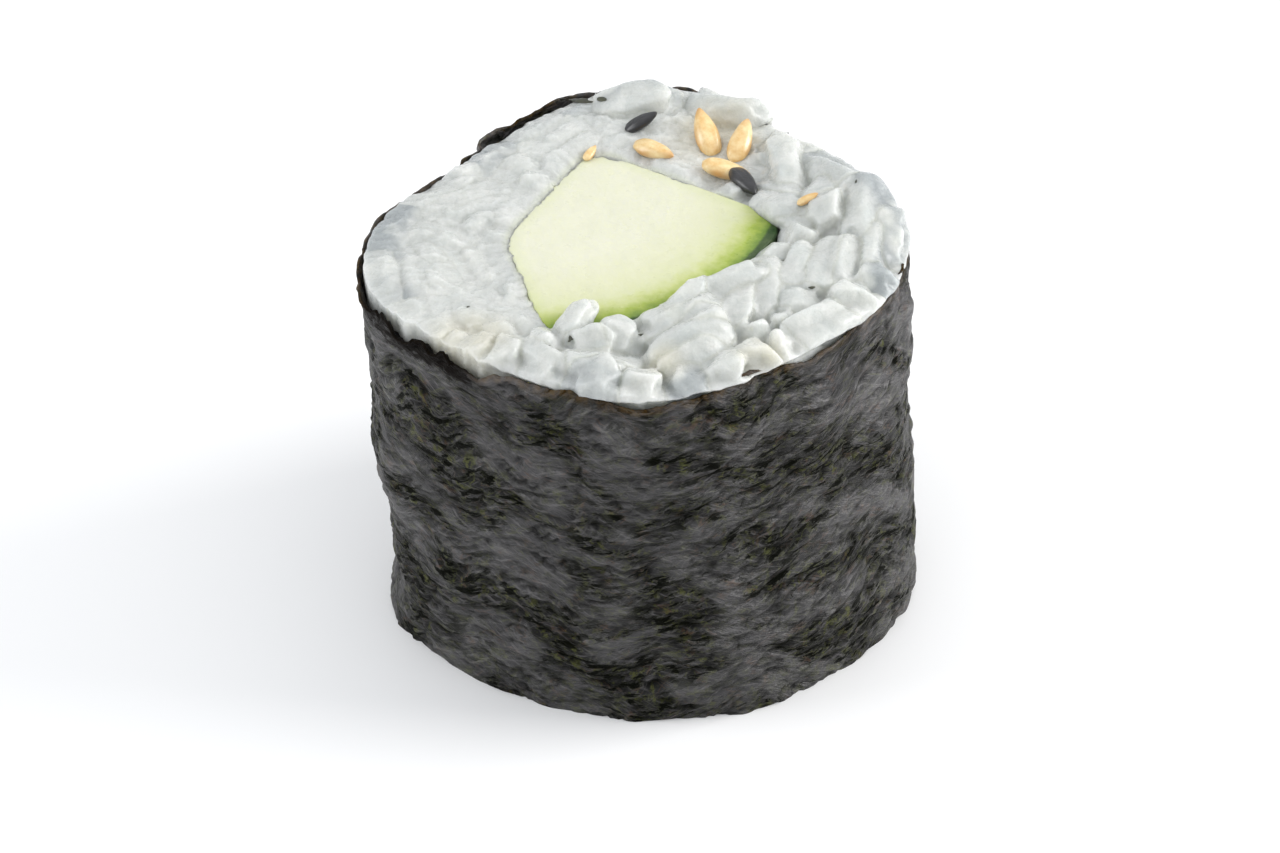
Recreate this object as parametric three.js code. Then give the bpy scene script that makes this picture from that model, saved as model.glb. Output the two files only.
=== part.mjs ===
// One piece of a thin cucumber maki roll, standing on a cut face.
// Millimetres, +Z up. The origin is the middle of the foot, on the surface the piece stands on.
// -Y is the front, where the cucumber's skin side and the loosest rice are; +Y is the back,
// where the nori sheet laps over itself.
// Three solids: the nori sheet, wound once round and lapped, the pressed rice inside it, and
// the cucumber baton that runs through the rice.

import * as THREE from "three";
import { mergeVertices } from "three/addons/utils/BufferGeometryUtils.js";

const degrees = THREE.MathUtils.degToRad;
const FULL_TURN = 2 * Math.PI;

// Driving dimensions.
const CUT_HEIGHT = 22.2; // the knife's two cuts are this far apart
const AROUND = 96; // facets round the roll
const CLEARANCE = 0.3; // air left between one solid and the next

// The roll's outline is a circle pressed out of round by the bamboo mat: each wave is
// [how many times it repeats in a turn, its height, the angle of one crest].
const ROLL_RADIUS = 13.1; // inner face of the nori, on average
const ROLL_WAVES = [
  [2, 0.35, degrees(12)],
  [3, 0.5, degrees(-33)],
  [4, 0.7, degrees(2)],
];
const LEAN = 1.1; // the foot stands this far towards +X of the top
const TAPER = 0.3; // and is this much narrower all round
const FOOT_CORNERS = 0.7; // but squarer: it stands out this far again between the four sides
const FOOT_TUCK = { by: 0.3, below: 2.8 }; // the lowest part curls in under the weight

const NORI = {
  thickness: 0.3,
  layerGap: 0.2, // between the two layers where the sheet laps
  startsAt: degrees(93.75), // angle of the inner end
  lapFacets: 10,
  rows: 8,
  // A moist sheet is cut a little unevenly: how far each edge strays, and its waves, each
  // [share of the height, how many times it repeats in a turn, shift].
  rim: { strays: 0.22, waves: [[0.6, 3, 0.6], [0.4, 7, 2]] },
  foot: { strays: 0.07, waves: [[1, 4, 1.1]] },
  // The sheet follows the grains behind it in shallow dimples, each
  // [height, repeats in a turn, radians per mm upwards, shift].
  dimples: [[0.1, 5, 0.45, 0], [0.08, 11, -0.6, 1], [0.06, 3, 0.9, 0]],
};

const RICE = {
  grainLength: 5.4,
  grainWidth: 2.9,
  grainCount: 72, // over the whole cut face
  lowestShare: 0.55, // the lowest grain stands out by this share of the highest
  pressedRise: 0.5, // how far a grain stands out of the pressed part of the cut face
  looseRise: 1.7, // and out of the loose part
  looseTowards: degrees(-42), // direction of the loose part
  looseFrom: [-0.1, 0.75], // shares of the roll's radius where it starts and is complete
  rings: 9, // rows of facets from the cucumber out to the nori
  walls: [0.125, 0.4, 0.7], // heights of the facet edges in the upright walls
  seed: 7,
};

// The cucumber was cut lengthwise into wedges and its seeds were sliced off, so its section
// is an arc of skin, two cut sides and a shorter cut side where the seeds were.
const CUCUMBER = {
  skinRadius: 17.75,
  axis: new THREE.Vector2(-8.15, 8.65), // where the whole cucumber's axis would be
  sides: [
    // outward normal's angle, distance of the cut from the axis
    [degrees(57.8), 2.8],
    [degrees(196), 1.0],
    [degrees(150.5), -5.3],
  ],
  inside: new THREE.Vector2(0.6, -0.4), // a point well inside the section
  arcSteps: 10,
  height: 22.5,
  edge: 0.35, // the knife leaves a slightly rounded edge
  dip: 0.3, // the cut face is lower towards the side where the seeds were
};

// ---- shared shape rules ----

/** Radius of the roll's outline at an angle. */
function rollRadius(angle) {
  return ROLL_WAVES.reduce(
    (sum, [times, height, crest]) => sum + height * Math.cos(times * (angle - crest)),
    ROLL_RADIUS,
  );
}

/** How far the sheet has wound outwards at a share of a full turn past its inner end. */
function winding(turns) {
  return turns * (NORI.thickness + NORI.layerGap);
}

/** Share of a turn, from 0 up to 1, that an angle lies past the sheet's inner end. */
function turnsPastStart(angle) {
  const past = (angle - NORI.startsAt) / FULL_TURN;
  return past - Math.floor(past + 1e-6);
}

/** Leans the straight roll, squares its foot and draws the lowest part in. */
function settle(x, y, z) {
  const share = THREE.MathUtils.clamp(z / CUT_HEIGHT, 0, 1);
  const tuck = FOOT_TUCK.by * Math.max(0, 1 - z / FOOT_TUCK.below);
  const corner = FOOT_CORNERS * Math.sin(2 * Math.atan2(y, x)) ** 2;
  const grown = 1 + ((corner - TAPER) * (1 - share) - tuck) / ROLL_RADIUS;
  return [x * grown + LEAN * (0.5 - share), y * grown, z];
}

/** Moves every vertex of a geometry by a rule that takes and returns x, y, z. */
function reshape(geometry, rule) {
  const position = geometry.getAttribute("position");
  for (let i = 0; i < position.count; i++)
    position.setXYZ(i, ...rule(position.getX(i), position.getY(i), position.getZ(i)));
  geometry.deleteAttribute("normal");
  geometry.deleteAttribute("uv");
  const merged = mergeVertices(geometry, 1e-4);
  merged.computeVertexNormals();
  return merged;
}

// ---- nori ----

/** How far an edge of the sheet strays at an angle, both ways. */
function edgeWave({ strays, waves }, angle) {
  return waves.reduce(
    (sum, [height, times, shift]) => sum + strays * height * Math.sin(times * angle + shift),
    0,
  );
}

/** How far the sheet stands out or in, where it follows the grains. */
function noriRelief(angle, z) {
  return NORI.dimples.reduce(
    (sum, [height, times, climb, shift]) =>
      sum + height * Math.sin(times * angle + climb * z + shift),
    0,
  );
}

/** The sheet starts as a flat box, one unit along each edge, and is wound round the roll. */
function makeNori() {
  const facets = AROUND + NORI.lapFacets;
  const sheet = new THREE.BoxGeometry(1, 1, 1, facets, NORI.rows, 1);
  return reshape(sheet, (along, up, through) => {
    const turns = ((along + 0.5) * facets) / AROUND;
    const angle = NORI.startsAt + turns * FULL_TURN;
    const foot = NORI.foot.strays + edgeWave(NORI.foot, angle);
    const rim = CUT_HEIGHT - NORI.rim.strays + edgeWave(NORI.rim, angle);
    const z = THREE.MathUtils.lerp(foot, rim, up + 0.5);
    const face = (through + 0.5) * NORI.thickness;
    const radius = rollRadius(angle) + winding(turns) + face + noriRelief(angle, z);
    return settle(radius * Math.cos(angle), radius * Math.sin(angle), z);
  });
}

// ---- cucumber ----

/** The point where two of the cucumber's cut sides meet, each moved out by grow. */
function sideCorner([angleA, distanceA], [angleB, distanceB], grow) {
  const [ax, ay] = [Math.cos(angleA), Math.sin(angleA)];
  const [bx, by] = [Math.cos(angleB), Math.sin(angleB)];
  const [a, b] = [distanceA + grow, distanceB + grow];
  const area = ax * by - ay * bx;
  return new THREE.Vector2((a * by - b * ay) / area, (b * ax - a * bx) / area);
}

/** The angle, seen from the cucumber's axis, at which a cut side meets the skin. */
function skinAngle([angle, distance], grow, turn) {
  const skin = CUCUMBER.skinRadius + grow;
  return angle + turn * Math.acos((distance + grow) / skin);
}

/** The cucumber's section, anticlockwise, with every side moved out by grow. */
function cucumberSection(grow = 0) {
  const [backSide, leftSide, seedSide] = CUCUMBER.sides;
  const from = skinAngle(leftSide, grow, 1) - FULL_TURN;
  const to = skinAngle(backSide, grow, -1);
  const skin = CUCUMBER.skinRadius + grow;
  const arc = Array.from({ length: CUCUMBER.arcSteps + 1 }, (_, i) => {
    const angle = THREE.MathUtils.lerp(from, to, i / CUCUMBER.arcSteps);
    return new THREE.Vector2(skin * Math.cos(angle), skin * Math.sin(angle));
  });
  const corners = [
    sideCorner(backSide, seedSide, grow),
    sideCorner(seedSide, leftSide, grow),
  ];
  return [...arc, ...corners].map((point) => point.add(CUCUMBER.axis));
}

/** How far the cut face lies below its highest, level part. */
function cucumberDip(x, y) {
  const towardsSeeds = Math.max(0, y - x) / ROLL_RADIUS;
  return CUCUMBER.dip * Math.min(1, towardsSeeds) ** 2;
}

function makeCucumber() {
  const shape = new THREE.Shape(cucumberSection(-CUCUMBER.edge));
  const baton = new THREE.ExtrudeGeometry(shape, {
    depth: CUCUMBER.height - 2 * CUCUMBER.edge,
    steps: NORI.rows,
    bevelThickness: CUCUMBER.edge,
    bevelSize: CUCUMBER.edge,
    bevelSegments: 2,
  });
  baton.translate(0, 0, CUCUMBER.edge);
  return reshape(baton, (x, y, z) => {
    const share = Math.max(0, z / CUCUMBER.height);
    return settle(x, y, Math.max(0, z) - share * cucumberDip(x, y));
  });
}

// ---- rice ----

/** A small repeatable random series from 0 to 1. */
function series(seed) {
  let state = seed;
  return () => {
    state = (state * 16807) % 2147483647;
    return state / 2147483647;
  };
}

/** Places one layer of lying grains over the cut face, by golden-angle turns. */
function layGrains() {
  const random = series(RICE.seed);
  const goldenAngle = Math.PI * (3 - Math.sqrt(5));
  return Array.from({ length: RICE.grainCount }, (_, i) => {
    const distance = (ROLL_RADIUS + 1) * Math.sqrt((i + 0.5) / RICE.grainCount);
    const angle = i * goldenAngle;
    return {
      x: distance * Math.cos(angle),
      y: distance * Math.sin(angle),
      turn: random() * Math.PI,
      rise: THREE.MathUtils.lerp(RICE.lowestShare, 1, random()),
    };
  });
}

/** 0 where the rice is pressed flat by the knife, 1 where it has crumbled loose. */
function looseness(x, y) {
  const [cx, cy] = [Math.cos(RICE.looseTowards), Math.sin(RICE.looseTowards)];
  const towards = (x * cx + y * cy) / ROLL_RADIUS;
  return THREE.MathUtils.smoothstep(towards, ...RICE.looseFrom);
}

const grains = layGrains();

/** How far the grains stand up at a point of the upper cut face. */
function grainRelief(x, y) {
  const highest = grains.reduce((best, grain) => {
    const [dx, dy] = [x - grain.x, y - grain.y];
    const along = dx * Math.cos(grain.turn) + dy * Math.sin(grain.turn);
    const across = dy * Math.cos(grain.turn) - dx * Math.sin(grain.turn);
    const reach = Math.hypot(along / (RICE.grainLength / 2), across / (RICE.grainWidth / 2));
    return Math.max(best, grain.rise * Math.sqrt(Math.max(0, 1 - reach * reach)));
  }, 0);
  const rise = THREE.MathUtils.lerp(RICE.pressedRise, RICE.looseRise, looseness(x, y));
  return rise * highest;
}

/** The distance from a point inside a closed outline to the outline, at an angle. */
function reachAt(outline, centre, angle) {
  const [cx, cy] = [Math.cos(angle), Math.sin(angle)];
  return outline.reduce((found, a, i) => {
    const b = outline[(i + 1) % outline.length];
    const [ex, ey] = [b.x - a.x, b.y - a.y];
    const [px, py] = [a.x - centre.x, a.y - centre.y];
    const area = cx * ey - cy * ex;
    const distance = (px * ey - py * ex) / area;
    const share = (px * cy - py * cx) / area;
    const hit = distance > 0 && share >= -1e-6 && share <= 1 + 1e-6;
    return hit ? Math.max(found, distance) : found;
  }, 0);
}

/** Even angles round a centre, with the nearest one moved onto each given angle. */
function anglesThrough(wanted) {
  const angles = Array.from({ length: AROUND }, (_, i) => (i * FULL_TURN) / AROUND);
  for (const angle of wanted) {
    const turned = THREE.MathUtils.euclideanModulo(angle, FULL_TURN);
    angles[Math.round((turned * AROUND) / FULL_TURN) % AROUND] = turned;
  }
  return angles;
}

/** The rice's outer outline: the inner face of the winding sheet, less the clearance. */
function riceOutline() {
  const heights = Array.from({ length: NORI.rows + 1 }, (_, i) => (i * CUT_HEIGHT) / NORI.rows);
  return Array.from({ length: AROUND }, (_, i) => {
    const angle = NORI.startsAt + (i * FULL_TURN) / AROUND;
    const relief = Math.min(...heights.map((z) => noriRelief(angle, z)));
    const radius = rollRadius(angle) + winding(turnsPastStart(angle)) + relief - CLEARANCE;
    return new THREE.Vector2(radius * Math.cos(angle), radius * Math.sin(angle));
  });
}

/**
 * The rice is turned on a lathe as a plain ring, one unit wide and one high, and then drawn
 * out from the cucumber's section to the nori's inner face.
 */
function makeRice() {
  const hole = cucumberSection(CLEARANCE);
  const outer = riceOutline();
  const centre = CUCUMBER.inside;
  const corners = [...hole.slice(CUCUMBER.arcSteps), hole[0]];
  const angles = anglesThrough(corners.map((corner) => corner.clone().sub(centre).angle()));
  const rings = Array.from({ length: RICE.rings + 1 }, (_, i) => i / RICE.rings);
  const profile = [
    new THREE.Vector2(1, 0),
    new THREE.Vector2(2, 0),
    ...RICE.walls.map((share) => new THREE.Vector2(2, share)),
    ...rings.map((share) => new THREE.Vector2(2 - share, 1)),
    ...RICE.walls.toReversed().map((share) => new THREE.Vector2(1, share)),
    new THREE.Vector2(1, 0),
  ];
  const ring = new THREE.LatheGeometry(profile, AROUND).rotateX(Math.PI / 2);
  return reshape(ring, (x, y, height) => {
    const step = THREE.MathUtils.euclideanModulo(Math.atan2(y, x), FULL_TURN);
    const angle = angles[Math.round((step * AROUND) / FULL_TURN) % AROUND];
    const from = reachAt(hole, centre, angle);
    const to = reachAt(outer, centre, angle);
    const reach = THREE.MathUtils.lerp(from, to, Math.hypot(x, y) - 1);
    const px = centre.x + reach * Math.cos(angle);
    const py = centre.y + reach * Math.sin(angle);
    const top = CUT_HEIGHT - RICE.pressedRise + grainRelief(px, py);
    return settle(px, py, height * top);
  });
}

// ---- the piece ----

function material(colour, roughness) {
  return new THREE.MeshStandardMaterial({ color: colour, roughness, metalness: 0 });
}

function part(name, geometry, finish) {
  const mesh = new THREE.Mesh(geometry, finish);
  mesh.name = name;
  return mesh;
}

const piece = new THREE.Group();
piece.add(
  part("nori", makeNori(), material("#34352f", 0.5)),
  part("rice", makeRice(), material("#dcdfda", 0.4)),
  part("cucumber", makeCucumber(), material("#e6ebc8", 0.3)),
);

// The origin is the middle of the foot's box.
const box = new THREE.Box3().setFromObject(piece);
const middle = box.getCenter(new THREE.Vector3());
piece.position.set(-middle.x, -middle.y, -box.min.z);

export default piece;
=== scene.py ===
import math
import random

import bmesh
import bpy
import numpy as np
from mathutils import Matrix, Vector, noise
from mathutils.bvhtree import BVHTree


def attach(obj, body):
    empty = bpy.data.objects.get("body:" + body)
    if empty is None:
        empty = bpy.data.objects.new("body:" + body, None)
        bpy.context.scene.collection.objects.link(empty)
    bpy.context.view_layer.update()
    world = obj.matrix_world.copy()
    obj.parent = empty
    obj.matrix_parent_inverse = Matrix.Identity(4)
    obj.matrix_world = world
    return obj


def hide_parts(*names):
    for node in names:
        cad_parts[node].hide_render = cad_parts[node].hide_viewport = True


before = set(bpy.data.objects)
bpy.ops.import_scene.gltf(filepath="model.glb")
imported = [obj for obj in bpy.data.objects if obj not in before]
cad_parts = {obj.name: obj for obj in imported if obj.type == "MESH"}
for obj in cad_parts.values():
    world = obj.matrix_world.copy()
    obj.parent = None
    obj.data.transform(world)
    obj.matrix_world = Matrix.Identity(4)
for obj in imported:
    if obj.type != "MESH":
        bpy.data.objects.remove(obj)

# One piece of cucumber maki: a nori sheet round pressed rice with a wedge of cucumber.
# Shapes are worked out in millimetres and written to the meshes in metres.
mm = 0.001
fullTurn = 2 * math.pi
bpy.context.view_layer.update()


def nodePoints(name):
    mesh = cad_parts[name].data
    points = np.empty(len(mesh.vertices) * 3)
    mesh.vertices.foreach_get("co", points)
    return points.reshape(-1, 3) / mm


def nodeTree(name):
    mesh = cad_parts[name].data
    corners = [v.co / mm for v in mesh.vertices]
    return BVHTree.FromPolygons(corners, [tuple(p.vertices) for p in mesh.polygons])


noriTree = nodeTree("nori")
cucumberTree = nodeTree("cucumber")
noriPoints = nodePoints("nori")
rimHeight = float(noriPoints[:, 2].max())
cucumberHeight = float(nodePoints("cucumber")[:, 2].max())
noriThickness = 0.3  # of the sheet's solid in the frame


def middleOf(points):
    return (points[:, :2].min(0) + points[:, :2].max(0)) / 2


footMiddle = middleOf(noriPoints[noriPoints[:, 2] < 0.5])
rimMiddle = middleOf(noriPoints[noriPoints[:, 2] > rimHeight - 0.9])


def axisAt(z):  # the roll leans, so its axis moves with height
    share = np.clip(np.asarray(z, float) / rimHeight, 0, 1)[..., None]
    return footMiddle + (rimMiddle - footMiddle) * share


tableAngles = 720


def reachTable(tree, heights, inward=False):
    # distance from the axis to a surface, for every height and direction
    reaches = np.zeros((len(heights), tableAngles))
    far = 40.0
    for row, z in enumerate(heights):
        cx, cy = axisAt(z)
        for column in range(tableAngles):
            angle = column * fullTurn / tableAngles
            out = Vector((math.cos(angle), math.sin(angle), 0))
            start = Vector((cx, cy, z)) + (out * far if inward else out * 0.01)
            gap = tree.ray_cast(start, -out if inward else out)[3]
            if gap is None:  # over a low place in the rim
                reaches[row, column] = reaches[row - 1, column]
            else:
                reaches[row, column] = far - gap if inward else gap + 0.01
    return heights, reaches


def lookUp(table, angle, z):
    heights, reaches = table
    column = np.mod(np.asarray(angle, float), fullTurn) * tableAngles / fullTurn
    row = np.interp(np.asarray(z, float), heights, np.arange(len(heights)))
    c0 = np.floor(column).astype(int) % tableAngles
    r0 = np.minimum(np.floor(row).astype(int), len(heights) - 2)
    fc, fr = column - np.floor(column), row - r0
    c1 = (c0 + 1) % tableAngles
    lower = reaches[r0, c0] * (1 - fc) + reaches[r0, c1] * fc
    upper = reaches[r0 + 1, c0] * (1 - fc) + reaches[r0 + 1, c1] * fc
    return lower * (1 - fr) + upper * fr


def smoothed(table, steps):
    # the same outline with its corners worn round
    heights, reaches = table
    shifted = [np.roll(reaches, step, 1) for step in range(-steps, steps + 1)]
    return heights, np.mean(shifted, 0)


solidHeights = np.linspace(0.25, rimHeight - 0.55, 14)
noriInside = reachTable(noriTree, solidHeights)
noriOutside = reachTable(noriTree, solidHeights, inward=True)
cucumberOutside = smoothed(reachTable(cucumberTree, solidHeights), 21)


def polar(x, y, z):
    centre = axisAt(z)
    dx, dy = x - centre[..., 0], y - centre[..., 1]
    return np.hypot(dx, dy), np.arctan2(dy, dx)


# The two layers of the lap are where the sheet is much thicker than one layer.
layered = (noriOutside[1] - noriInside[1]).mean(0) > 2 * noriThickness
edges = np.flatnonzero(layered & ~np.roll(layered, 1))
lapStart = float(edges[0] * fullTurn / tableAngles)
lapWidth = float(layered.sum() * fullTurn / tableAngles)
print("frame read: lap from", round(math.degrees(lapStart)), "for", round(math.degrees(lapWidth)))


def smooth(low, high, value):
    share = np.clip((np.asarray(value, float) - low) / (high - low), 0, 1)
    return share * share * (3 - 2 * share)


def mix(a, b, share):
    return a + (b - a) * share


def newMesh(name, points, faces, attributes=None):
    # points in millimetres; attributes are one number or one vector for each point
    mesh = bpy.data.meshes.new(name)
    mesh.from_pydata((np.asarray(points, float) * mm).tolist(), [], faces)
    for label, values in (attributes or {}).items():
        setAttribute(mesh, label, values)
    mesh.update()
    return mesh


def setAttribute(mesh, label, values):
    values = np.asarray(values, np.float32)
    if label in mesh.attributes:
        mesh.attributes.remove(mesh.attributes[label])
    if values.ndim == 1:
        mesh.attributes.new(label, "FLOAT", "POINT").data.foreach_set("value", values)
    else:
        mesh.attributes.new(label, "FLOAT_VECTOR", "POINT").data.foreach_set("vector", values.ravel())


def meshPoints(mesh):
    points = np.empty(len(mesh.vertices) * 3)
    mesh.vertices.foreach_get("co", points)
    return points.reshape(-1, 3) / mm


def setPoints(mesh, points):
    mesh.vertices.foreach_set("co", (points * mm).ravel())
    mesh.update()


def shadeSmooth(mesh):
    mesh.polygons.foreach_set("use_smooth", np.ones(len(mesh.polygons), bool))


def newObject(name, mesh):
    made = bpy.data.objects.new(name, mesh)
    bpy.context.scene.collection.objects.link(made)
    return made


def ringPoints(angles, reach, z):
    # a level ring round the roll's axis
    centre = axisAt(z)
    return np.stack([
        centre[0] + reach * np.cos(angles),
        centre[1] + reach * np.sin(angles),
        np.full(len(angles), z),
    ], 1)


def ringFaces(rings, around, closed=True):
    # quads between rings of points, each joined to the next, and the last to the first if closed
    faces = []
    for ring in range(rings if closed else rings - 1):
        following = (ring + 1) % rings
        for step in range(around):
            ahead = (step + 1) % around
            faces.append((
                ring * around + step,
                ring * around + ahead,
                following * around + ahead,
                following * around + step,
            ))
    return faces


def bake(source, name):
    # the evaluated mesh of an object, as a plain object of its own
    graph = bpy.context.evaluated_depsgraph_get()
    mesh = bpy.data.meshes.new_from_object(source.evaluated_get(graph), depsgraph=graph)
    mesh.name = name
    bpy.data.objects.remove(source)
    return newObject(name, mesh)


def add(tree, kind, inputs=None, **settings):
    # a node: an input given a socket is linked, anything else is set on it
    made = tree.nodes.new(kind)
    for key, value in settings.items():
        setattr(made, key, value)
    for key, value in (inputs or {}).items():
        socket = made.inputs[key]
        if isinstance(value, bpy.types.NodeSocket):
            tree.links.new(value, socket)
        else:
            socket.default_value = value
    return made


def finishPiece(piece, nodes, material):
    piece.data.materials.clear()
    piece.data.materials.append(material)
    shadeSmooth(piece.data)
    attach(piece, "root")
    if nodes:
        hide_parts(*nodes)
    print("made", piece.name, sum(len(p.vertices) - 2 for p in piece.data.polygons), "triangles")


def geometryTree(name, sockets):
    # an empty Geometry Nodes tree with named inputs
    tree = bpy.data.node_groups.new(name, "GeometryNodeTree")
    tree.interface.new_socket("Geometry", in_out="INPUT", socket_type="NodeSocketGeometry")
    for label, kind in sockets:
        tree.interface.new_socket(label, in_out="INPUT", socket_type=kind)
    tree.interface.new_socket("Geometry", in_out="OUTPUT", socket_type="NodeSocketGeometry")
    return tree


def runTree(target, tree, values):
    modifier = target.modifiers.new(tree.name, "NODES")
    modifier.node_group = tree
    for item in tree.interface.items_tree:
        if item.in_out == "INPUT" and item.name in values:
            modifier[item.identifier] = values[item.name]
    return modifier


def newMaterial(name):
    material = bpy.data.materials.new(name)
    material.use_nodes = True
    tree = material.node_tree
    return material, tree, tree.nodes["Principled BSDF"]


def colourRamp(tree, fac, stops):
    ramp = add(tree, "ShaderNodeValToRGB", {"Fac": fac})
    elements = ramp.color_ramp.elements
    while len(elements) < len(stops):
        elements.new(0.5)
    for element, (place, colour) in zip(elements, stops):
        element.position = place
        element.color = (*colour, 1)
    return ramp.outputs["Color"]


def blendColours(tree, factor, a, b, mode="MIX"):
    made = add(tree, "ShaderNodeMix", {0: factor, 6: a, 7: b}, data_type="RGBA", blend_type=mode)
    return made.outputs[2]


def calculate(tree, operation, *values, clamp=False):
    made = add(tree, "ShaderNodeMath", dict(enumerate(values)), operation=operation, use_clamp=clamp)
    return made.outputs[0]


def spread(tree, value, low, high, to=(0, 1)):
    made = add(
        tree,
        "ShaderNodeMapRange",
        {"Value": value, "From Min": low, "From Max": high, "To Min": to[0], "To Max": to[1]},
    )
    return made.outputs["Result"]


def objectPlace(tree):
    # object coordinates in millimetres, so that pattern sizes read as real ones
    place = add(tree, "ShaderNodeTexCoord").outputs["Object"]
    return add(tree, "ShaderNodeMapping", {"Vector": place, "Scale": (1000, 1000, 1000)}).outputs["Vector"]


def attribute(tree, label, output="Fac"):
    return add(tree, "ShaderNodeAttribute", attribute_name=label).outputs[output]


def noiseAt(tree, place, scale, detail=2.0, roughness=0.5, distortion=0.0):
    made = add(
        tree,
        "ShaderNodeTexNoise",
        {"Vector": place, "Scale": scale, "Detail": detail, "Roughness": roughness,
         "Distortion": distortion},
    )
    return made.outputs["Fac"]


def wanderingLevel(tree, x, y):
    # height on the flat sheet, wandering up and down a little along it, as its wrinkles do
    flat = add(tree, "ShaderNodeCombineXYZ", {"X": x, "Y": y}).outputs[0]
    return calculate(tree, "MULTIPLY_ADD", noiseAt(tree, flat, 0.13, 1), 4.5, y)


nori = {
    "columns": 420,
    "rows": 112,
    "thickness": 0.14,
    "radius": 14.3,  # length of sheet for each radian
    "rimDrop": 0.15,  # of the visible rim under the solid's
    "lapStep": 0.16,  # how far the outer layer of the lap is drawn in
    "swell": 0.8,  # height of the broad bulges over the rice
    "wrinkle": 0.19,  # height of the long wrinkles
    "wrinkleLength": 4.8,
    "wrinkleWidth": 1.0,
    "fine": 0.085,  # height of the finest wrinkles
    "slit": 0.17,  # depth of the short dark slits
    "frayed": 0.65,  # how far the rim strays
    "tornAt": math.radians(215),  # where the rim is torn most
    "dentAt": math.radians(176),  # where the side is pressed in over the foot
    "dent": 0.75,  # and how far
    "lowAt": math.radians(128),  # where the rim is lowest
    "low": 0.3,  # and by how much
    "footSpread": 0.35,  # how far the foot stands out on both sides
    "footAt": [(math.radians(-13), 0.26), (math.radians(195), 0.22)],  # directions and widths
    "flare": 0.32,  # how far the torn rim stands off the rice
    "seed": 3.0,
}


def nearAngle(angles, towards, width):
    # 1 at an angle, falling off to both sides
    off = np.mod(angles - towards + math.pi, fullTurn) - math.pi
    return np.exp(-((off / width) ** 2))


def noriSheet():
    # the sheet's middle surface, wound as in the frame, with its place on the flat sheet
    columns, rows = nori["columns"], nori["rows"]
    turns = np.linspace(0, fullTurn + lapWidth, columns + 1)
    angles = lapStart + turns
    points, places = [], []
    for row in range(rows + 1):
        share = row / rows
        z = share * (rimHeight - nori["rimDrop"] - nori["low"] * nearAngle(angles, nori["lowAt"], 0.8))
        inner = lookUp(noriInside, angles, z) + nori["thickness"] / 2
        outer = lookUp(noriOutside, angles, z) - noriThickness + nori["thickness"] / 2
        first = smooth(lapWidth * 1.02, lapWidth * 1.1, turns)
        reach = mix(inner, outer, first)
        over = smooth(fullTurn - 0.1, fullTurn + 0.1, turns)
        dent = nearAngle(angles, nori["dentAt"], 0.42) * smooth(9.6, 8.0, z) * smooth(0.4, 2.6, z)
        torn = nearAngle(angles, nori["tornAt"], 0.3)
        flare = nori["flare"] * torn * smooth(rimHeight - 1.0, rimHeight, z)
        foot = sum(nearAngle(angles, towards, width) for towards, width in nori["footAt"])
        foot = foot * nori["footSpread"] * smooth(2.6, 0.4, z)
        reach = reach - over * nori["lapStep"] - dent * nori["dent"] + flare + foot
        centre = axisAt(z)
        points.append(np.stack([
            centre[:, 0] + reach * np.cos(angles),
            centre[:, 1] + reach * np.sin(angles),
            z,
        ], 1))
        places.append(np.stack([turns * nori["radius"], z, torn], 1))
    faces = []
    for row in range(rows):
        for column in range(columns):
            corner = row * (columns + 1) + column
            faces.append((corner, corner + 1, corner + columns + 2, corner + columns + 1))
    return newMesh("noriSheet", np.concatenate(points), faces, {"sheet": np.concatenate(places)})


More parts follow.
